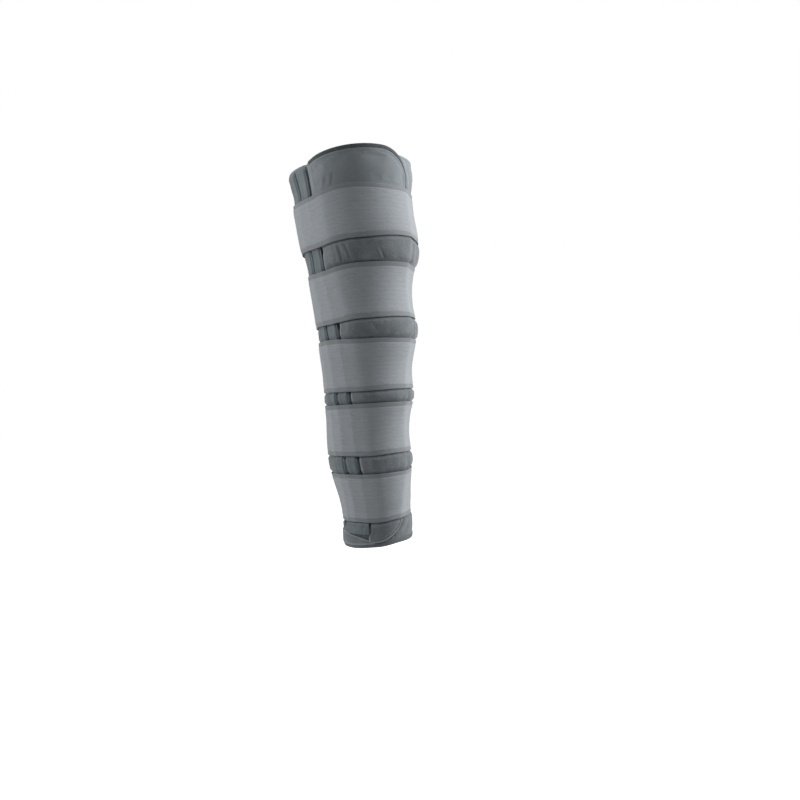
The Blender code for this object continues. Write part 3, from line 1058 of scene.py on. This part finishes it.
def strap_lift(angle, height):
    """Lift of a strap's inner face where it lies on what is below it."""
    slit = slit_angle(height)
    free = free_angle(height)
    beside_free = width_of(np.maximum(angle - free, 0.0), height)
    panel = FRONT_SEAT_GAP + front_thickness(angle, height, beside_free)
    stays = SEAT_GAP + POCKET_PAD + stay_bow(0, angle, height) + stay_bow(1, angle, height)
    pockets_end = pocket_angles(1, height)[1]
    on_slit = rise_over(angle, height, slit, 1.5, 0.5)
    on_start = STRAP_ELASTIC + LAP_GAP
    on_hook = HOOK_TAPE + LAP_GAP
    return (STRAP_GAP
            + panel * rise_over(angle, height, free, 0.5, 1.5) * (1 - on_slit)
            + stays * on_slit * (1 - rise_over(angle, height, pockets_end, 4.5, -1.5))
            + on_start * rise_over(angle, height, LAP_START + 360, 3.0, -1.0)
            + on_hook * rise_over(angle, height, HOOK_START, 3.0, -0.8))


def pulled_taut(angle, height, lift):
    """Lift of a strap that is pulled straight over the hollows along each of its rows."""
    turn = np.radians(angle)
    level = wrap_radius(angle, height)
    radius = level + lift
    taut = radius.copy()
    count = radius.shape[1]
    for before in range(1, TAUT_REACH + 1):
        for after in range(1, TAUT_REACH + 1):
            here = slice(before, count - after)
            first, last = slice(0, count - before - after), slice(before + after, count)
            ahead, behind = turn[:, last] - turn[:, here], turn[:, here] - turn[:, first]
            span = radius[:, first] * np.sin(behind) + radius[:, last] * np.sin(ahead)
            chord = radius[:, first] * radius[:, last] * np.sin(behind + ahead) / span
            taut[:, here] = np.maximum(taut[:, here], chord)
    return taut - level


def webbing(share, from_edge):
    """Thickness of a strap across its width, with its hems, their seams and faint bands."""
    body = rise(from_edge, HEM_WIDTH, HEM_STEP)
    band = BAND_RELIEF * np.cos(2 * np.pi * (share - 0.5) * STRAP_WIDTH / BAND_PITCH) * body
    groove = HEM_GROOVE * bell(from_edge, HEM_WIDTH, HEM_GROOVE_WIDTH)
    return HEM_CLOTH + (STRAP_ELASTIC - HEM_CLOTH) * body + band - groove


def strap_flare(strap, angle, share):
    """How far a strap's lower edge stands off on the outer side of the leg."""
    away = np.clip((angle - FLARE_ANGLE) / FLARE_REACH, -1.0, 1.0)
    return strap.flare * np.cos(np.pi / 2 * away) * smooth_step(1 - share / FLARE_RISE)


def make_strap(strap, materials):
    """One wide elastic strap, wound once round the brace and lapped over its own start."""
    level = (strap.upper.front + strap.lower.front) / 2
    radius = float(half_width(level))
    length = math.radians(STRAP_END - LAP_START) * radius
    along = across(length, round(length / STRAP_COLUMN), STRAP_CROWDING)
    share = across(STRAP_WIDTH, STRAP_ROWS, STRAP_CROWDING)[:, None] / STRAP_WIDTH
    angle = LAP_START + np.degrees(along / radius) * np.ones_like(share)
    lower, upper = edge_height(strap.lower, angle), edge_height(strap.upper, angle)
    height = lower + (upper - lower) * share
    from_edge = np.minimum(share, 1 - share) * STRAP_WIDTH * np.ones_like(angle)
    from_end = np.minimum(along, length - along) * np.ones_like(angle)
    lift = pulled_taut(angle, height, strap_lift(angle, height)) + strap_flare(strap, angle, share)
    wave = STRAP_WAVE * ripple(along, STRAP_WAVE_LENGTH, float(strap.name))
    lift = lift + wave * smooth_step(from_edge / 10)
    nose = roundness(np.minimum(from_edge, from_end), STRAP_NOSE)
    middle = lift + HEM_CLOTH / 2
    above, below = (lift + webbing(share, from_edge) - middle) * nose, HEM_CLOTH / 2 * nose
    outside, inside = two_faces(angle, height, middle, above, below)
    weave = weave_of(along, share * STRAP_WIDTH, from_edge)
    made = shell("elastic_{}".format(strap.name), outside, inside, weave, materials)
    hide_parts("strap_{}".format(strap.name))
    return made


def lap_seams(strap):
    """Two lines of stitches across a strap, beside its end."""
    lines = []
    share = np.linspace(0.04, 0.96, SEAM_POINTS)
    for seam in LAP_SEAMS:
        angle = np.full(SEAM_POINTS, seam)
        low, high = edge_height(strap.lower, angle), edge_height(strap.upper, angle)
        level = low + (high - low) * share
        lines.append((angle, level, strap_lift(angle, level) + STRAP_ELASTIC))
    return lines


def make_hook_tab(strap, materials):
    """The plain hook tab at the end of a strap, with rounded outer corners."""
    height = (strap.upper.inner + strap.lower.inner) / 2
    width = float(width_of(HOOK_END - HOOK_START, height))
    along = across(width, HOOK_COLUMNS, HOOK_NOSE)
    share = across(1.0, HOOK_ROWS, 0.01)[:, None]
    angle = HOOK_START + along / width * (HOOK_END - HOOK_START) * np.ones_like(share)
    from_tip = width - along
    inset = HOOK_INSET + corner_inset(HOOK_CORNER, from_tip)
    lower = edge_height(strap.lower, angle) + inset
    upper = edge_height(strap.upper, angle) - inset
    height = lower + (upper - lower) * share
    from_side = np.minimum(share, 1 - share) * (upper - lower)
    distance = np.minimum(from_side, np.minimum(along, from_tip))
    seat = STRAP_GAP + STRAP_ELASTIC + LAP_GAP
    nose = roundness(distance, HOOK_NOSE)
    half = HOOK_TAPE / 2 * nose
    outside, inside = two_faces(angle, height, seat + HOOK_TAPE / 2, half, half)
    weave = weave_of(along, height, distance)
    made = shell("hook_{}".format(strap.name), outside, inside, weave, materials)
    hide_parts("hook_tab_{}".format(strap.name))
    return made


def add_node(tree, kind, *inputs, output=0, **settings):
    """Add a shader node, fill its first inputs with sockets or values, and return an output."""
    made = tree.nodes.new("ShaderNode" + kind)
    for key, value in settings.items():
        setattr(made, key, value)
    for socket, value in zip(made.inputs, inputs):
        if isinstance(value, bpy.types.NodeSocket):
            tree.links.new(value, socket)
        elif value is not None:
            socket.default_value = (*value, 1.0) if socket.type == "RGBA" else value
    return made.outputs[output]


class Recipe:
    """Shader nodes of one fabric. They read the weave attribute, in metres."""

    def __init__(self, name, roughness, sheen):
        self.fabric = bpy.data.materials.new(name)
        self.fabric.use_nodes = True
        self.tree = self.fabric.node_tree
        self.shader = self.tree.nodes["Principled BSDF"]
        self.shader.inputs["Roughness"].default_value = roughness
        self.shader.inputs["Sheen Weight"].default_value = sheen
        self.shader.inputs["Sheen Roughness"].default_value = 0.45
        self.shader.inputs["Specular IOR Level"].default_value = 0.25
        self.weave = self.node("Attribute", output=1, attribute_name="weave")
        parts = self.tree.nodes.new("ShaderNodeSeparateXYZ")
        self.tree.links.new(self.weave, parts.inputs[0])
        self.along, self.up, self.from_edge = parts.outputs

    def node(self, kind, *inputs, output=0, **settings):
        """Add a node to the fabric."""
        return add_node(self.tree, kind, *inputs, output=output, **settings)

    def math(self, operation, *values):
        """Result of a math node."""
        return self.node("Math", *values, operation=operation)

    def noise(self, along, up, detail=2.0):
        """Noise from 0 to 1, with cells of these sizes along and up the cloth."""
        scale = (1 / (along * MM), 1 / (up * MM), 1 / (up * MM))
        stretched = self.node("VectorMath", self.weave, scale, operation="MULTIPLY")
        return self.node("TexNoise", stretched, None, 1.0, detail, 0.55)

    def wave(self, coordinate, pitch):
        """Sine of a coordinate, from 0 to 1, with this pitch."""
        turned = self.math("MULTIPLY", coordinate, 2 * math.pi / (pitch * MM))
        return self.math("MULTIPLY_ADD", self.math("SINE", turned), 0.5, 0.5)

    def ramp(self, value, low, high, to_low=0.0, to_high=1.0):
        """Smooth rise between two values of the input."""
        return self.node("MapRange", value, low, high, to_low, to_high,
                         interpolation_type="SMOOTHSTEP")

    def blend(self, factor, first, second):
        """Mix of two colours."""
        return self.node("Mix", factor, *[None] * 5, first, second, output=2, data_type="RGBA")

    def finish(self, colour, relief, depth):
        """Link the colour, and a bump of this depth, and return the material."""
        bump = self.tree.nodes.new("ShaderNodeBump")
        bump.inputs["Strength"].default_value = 1.0
        bump.inputs["Distance"].default_value = depth * MM
        self.tree.links.new(relief, bump.inputs["Height"])
        self.tree.links.new(bump.outputs["Normal"], self.shader.inputs["Normal"])
        self.tree.links.new(colour, self.shader.inputs["Base Color"])
        return self.fabric


def loop_fabric(name, dark, light, crown):
    """Brushed loop fabric over foam, with a painted highlight along its edges and painted light from
    above on its upper part, both in the light crown tone.
    """
    recipe = Recipe(name, 0.9, 0.35)
    fuzz = recipe.noise(0.55, 0.8, 3.0)
    nap = recipe.noise(14.0, 22.0, 3.0)
    fleck = recipe.ramp(recipe.noise(1.3, 1.9, 1.0), 0.35, 0.75)
    tone = recipe.math("MULTIPLY_ADD", nap, 0.7, recipe.math("MULTIPLY", fleck, 0.25))
    colour = recipe.blend(recipe.ramp(tone, 0.25, 0.85), dark, light)
    # Painted light from above: above the upper strap the cloth turns towards the light crown tone.
    painted_top_light = recipe.ramp(recipe.up, 215 * MM, 240 * MM, 0.0, 0.6)
    colour = recipe.blend(painted_top_light, colour, crown)
    # Painted highlight: within a few millimetres of its edges the cloth turns to the light crown tone.
    painted_edge_highlight = recipe.ramp(recipe.from_edge, 1.2 * MM, 3.2 * MM, 0.95, 0.0)
    colour = recipe.blend(painted_edge_highlight, colour, crown)
    relief = recipe.math("ADD", fuzz, recipe.math("MULTIPLY", nap, 2.0))
    return recipe.finish(colour, relief, 0.16)


def knit_fabric(name, dark, light):
    """Smooth knit with fine wales up the cloth."""
    recipe = Recipe(name, 0.75, 0.30)
    wale = recipe.wave(recipe.along, 1.15)
    course = recipe.wave(recipe.up, 1.6)
    cloud = recipe.noise(7.0, 40.0, 3.0)
    streak = recipe.noise(1.1, 16.0, 2.0)
    tone = recipe.math("MULTIPLY_ADD", cloud, 0.6, recipe.math("MULTIPLY", streak, 0.5))
    colour = recipe.blend(recipe.ramp(tone, 0.3, 0.8), dark, light)
    relief = recipe.math("MULTIPLY_ADD", course, 0.35, wale)
    return recipe.finish(colour, relief, 0.12)


def elastic_webbing(name, dark, light, hem_dark, hem_light):
    """Melange elastic: faint bands and fine ribs along it, and a smooth darker hem."""
    recipe = Recipe(name, 0.82, 0.30)
    band = recipe.wave(recipe.up, BAND_PITCH)
    rib = recipe.wave(recipe.up, 1.55)
    yarn = recipe.wave(recipe.along, 1.1)
    streak = recipe.noise(10.0, 1.2, 2.0)
    heather = recipe.noise(2.2, 1.0, 2.0)
    tone = recipe.math("MULTIPLY_ADD", streak, 0.55, recipe.math("MULTIPLY", heather, 0.7))
    tone = recipe.math("MULTIPLY_ADD", band, 0.04, tone)
    body = recipe.blend(recipe.ramp(tone, 0.35, 1.0), dark, light)
    edge = recipe.blend(recipe.noise(5.0, 1.2, 2.0), hem_dark, hem_light)
    hem = recipe.ramp(recipe.from_edge, (HEM_WIDTH - 0.5) * MM, (HEM_WIDTH + 0.2) * MM)
    colour = recipe.blend(hem, edge, body)
    twill = recipe.wave(recipe.math("ADD", recipe.along, recipe.up), 1.3)
    ribbed = recipe.math("MULTIPLY_ADD", yarn, 0.3, recipe.math("ADD", rib, heather))
    relief = recipe.node("Mix", hem, None, twill, ribbed, data_type="FLOAT")
    return recipe.finish(colour, relief, 0.10)


def grosgrain_tape(name, dark, light):
    """Binding tape with fine ribs across it."""
    recipe = Recipe(name, 0.7, 0.25)
    rib = recipe.wave(recipe.along, 1.0)
    cloud = recipe.noise(9.0, 2.5, 2.0)
    colour = recipe.blend(recipe.math("MULTIPLY_ADD", rib, 0.35, cloud), dark, light)
    return recipe.finish(colour, rib, 0.15)


def hook_tape(name, dark, light):
    """Hook tape: small stiff hooks in close rows."""
    recipe = Recipe(name, 0.55, 0.1)
    dots = recipe.math("MULTIPLY", recipe.wave(recipe.along, 1.5), recipe.wave(recipe.up, 1.5))
    colour = recipe.blend(recipe.ramp(dots, 0.2, 0.9), dark, light)
    return recipe.finish(colour, dots, 0.5)


def sewing_thread(name, dark, light):
    """Twisted sewing thread."""
    recipe = Recipe(name, 0.6, 0.2)
    twist = recipe.wave(recipe.math("ADD", recipe.along, recipe.up), 0.5)
    return recipe.finish(recipe.blend(twist, dark, light), twist, 0.05)


def build_brace():
    """Make every piece, and let all of them ride on the one body."""
    panel = loop_fabric("panel_fabric", (0.127, 0.142, 0.152), (0.199, 0.223, 0.239),
                        (0.245, 0.275, 0.297))
    # Dark lining for the pads' inner faces, which also paints shade into the slot behind the flap.
    lining_and_slot_shade = loop_fabric("lining_and_slot_shade_fabric", (0.060, 0.068, 0.074), (0.105, 0.117, 0.125),
                         (0.083, 0.093, 0.100))
    knit = knit_fabric("pocket_fabric", (0.102, 0.123, 0.135), (0.176, 0.213, 0.233))
    elastic = elastic_webbing("strap_elastic", (0.238, 0.258, 0.276), (0.340, 0.366, 0.392),
                              (0.184, 0.198, 0.212), (0.233, 0.251, 0.268))
    tape = grosgrain_tape("binding_tape", (0.036, 0.042, 0.045), (0.064, 0.073, 0.078))
    foot_tape = grosgrain_tape("foot_tape", (0.095, 0.107, 0.116), (0.140, 0.157, 0.170))
    hooks = hook_tape("hook_tape", (0.050, 0.055, 0.060), (0.130, 0.140, 0.148))
    thread = sewing_thread("thread", (0.090, 0.104, 0.112), (0.180, 0.200, 0.212))

    made = [make_wrap([panel, lining_and_slot_shade])]
    front, crown = make_front([panel, lining_and_slot_shade])
    made += [front, make_ledge([panel])]

    def wrap_pad(distance, border):
        return pad_lifts(WRAP_FOAM, -WRAP_FOAM, 0.5, distance)

    def front_pad(distance, border):
        thickness = front_thickness(border.angle, border.height, distance)
        return pad_lifts(thickness, FRONT_SEAT_GAP, 0.0, distance)

    foot_angles = np.arange(FOOT_TAPE_START, FOOT_TAPE_START + 360.6, 1.5)
    foot = Border(foot_angles, edge_height(BOTTOM_RIM, foot_angles), 1)
    seams = []
    for name, border, pad, fabric in (("foot_binding", foot, wrap_pad, foot_tape),
                                      ("crown_binding", Border(*crown, 1), front_pad, tape)):
        made.append(bind(name, border, pad, fabric))
        angle, height = border.inside([TAPE_WIDTH - 1.0])
        outer = pad(np.full(1, TAPE_WIDTH - 1.0), border)[0]
        seams.append((angle[0], height[0], outer + TAPE_CLOTH + np.zeros(angle.shape[1])))
    made.append(stitches("binding_stitches", seams, thread))

    for number in range(2):
        made.append(make_pocket(number, [knit]))
    made.append(stitches("pocket_stitches", pocket_seams(), thread))
    flap, flap_seams = make_flap([knit])
    made += [flap, stitches("flap_stitches", flap_seams, thread)]

    strap_seams = []
    for strap in STRAPS:
        made += [make_strap(strap, [elastic]), make_hook_tab(strap, [hooks])]
        strap_seams += lap_seams(strap)
    made.append(stitches("strap_stitches", strap_seams, thread))
    for piece in made:
        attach(piece, "root")


def make_floor():
    """A plain pale floor."""
    bpy.ops.mesh.primitive_circle_add(vertices=96, radius=25.0, fill_type="NGON",
                                      location=(0, 0, FLOOR_HEIGHT))
    floor = bpy.context.object
    floor.name = "floor"
    pale = bpy.data.materials.new("pale_floor")
    pale.use_nodes = True
    shader = pale.node_tree.nodes["Principled BSDF"]
    shader.inputs["Base Color"].default_value = (0.6, 0.6, 0.6, 1.0)
    shader.inputs["Roughness"].default_value = 0.9
    shader.inputs["Specular IOR Level"].default_value = 0.0
    shader.inputs["Emission Color"].default_value = (1.0, 1.0, 1.0, 1.0)
    seen = add_node(pale.node_tree, "LightPath")
    glow = add_node(pale.node_tree, "Math", seen, FLOOR_GLOW, operation="MULTIPLY")
    pale.node_tree.links.new(glow, shader.inputs["Emission Strength"])
    floor.data.materials.append(pale)


def area_light(name, place, size, power):
    """A soft rectangular light that faces the middle of the brace."""
    data = bpy.data.lights.new(name, "AREA")
    data.shape = "RECTANGLE"
    data.size, data.size_y = size
    data.energy = power
    light = bpy.data.objects.new(name, data)
    bpy.context.scene.collection.objects.link(light)
    light.location = place
    light.rotation_euler = (Vector((0, 0, 0)) - light.location).to_track_quat("-Z", "Y").to_euler()


# Camera: level, in front of the brace and to its outer side, turned a little about its own axis
IMAGE_RIGHT = Vector((1, -1, 0)).normalized()
TOWARDS_CAMERA = Vector((-1, -1, 0)).normalized()
UPWARDS = Vector((0, 0, 1))
CAMERA_TARGET = IMAGE_RIGHT * 0.0465 + UPWARDS * -0.062
CAMERA_DISTANCE = 1.079
CAMERA_ROLL = math.radians(4.3)
CAMERA_LENS = 32.586
FLOOR_HEIGHT = -0.39
FLOOR_GLOW = 0.98

# Light: strong from the right and left, weak from above in front, and white all round
RIGHT_POWER = 21.5
LEFT_POWER = 12.5
FRONT_POWER = 7.0
WORLD_LIGHT = 0.1
BACKGROUND = 1.0


def make_lights():
    """Plain soft studio light."""
    area_light("right_light", IMAGE_RIGHT * 1.1 - TOWARDS_CAMERA * 0.06 + UPWARDS * 0.45,
               (0.5, 1.1), RIGHT_POWER)
    area_light("left_light", IMAGE_RIGHT * -1.2 + TOWARDS_CAMERA * 0.05 + UPWARDS * 0.45,
               (0.5, 1.1), LEFT_POWER)
    area_light("front_light", TOWARDS_CAMERA * 1.3 + UPWARDS * 1.5, (0.6, 0.6), FRONT_POWER)
    world = bpy.data.worlds.new("studio")
    world.use_nodes = True
    bpy.context.scene.world = world
    tree = world.node_tree
    lighting = tree.nodes["Background"]
    lighting.inputs["Color"].default_value = (1, 1, 1, 1)
    lighting.inputs["Strength"].default_value = WORLD_LIGHT
    seen = add_node(tree, "Background", (1, 1, 1), BACKGROUND)
    mix = add_node(tree, "MixShader", add_node(tree, "LightPath"), lighting.outputs[0], seen)
    tree.links.new(mix, tree.nodes["World Output"].inputs[0])
    bpy.context.scene.view_settings.view_transform = "Standard"


def make_camera():
    """The camera at the photograph's viewing angle."""
    data = bpy.data.cameras.new("camera")
    data.lens = CAMERA_LENS
    data.sensor_width = 36.0
    camera = bpy.data.objects.new("camera", data)
    bpy.context.scene.collection.objects.link(camera)
    up = UPWARDS * math.cos(CAMERA_ROLL) + IMAGE_RIGHT * math.sin(CAMERA_ROLL)
    right = IMAGE_RIGHT * math.cos(CAMERA_ROLL) - UPWARDS * math.sin(CAMERA_ROLL)
    turn = Matrix((right, up, TOWARDS_CAMERA)).transposed().to_4x4()
    place = CAMERA_TARGET + TOWARDS_CAMERA * CAMERA_DISTANCE
    camera.matrix_world = Matrix.Translation(place) @ turn
    bpy.context.scene.camera = camera


make_camera()
build_brace()
make_floor()
make_lights()
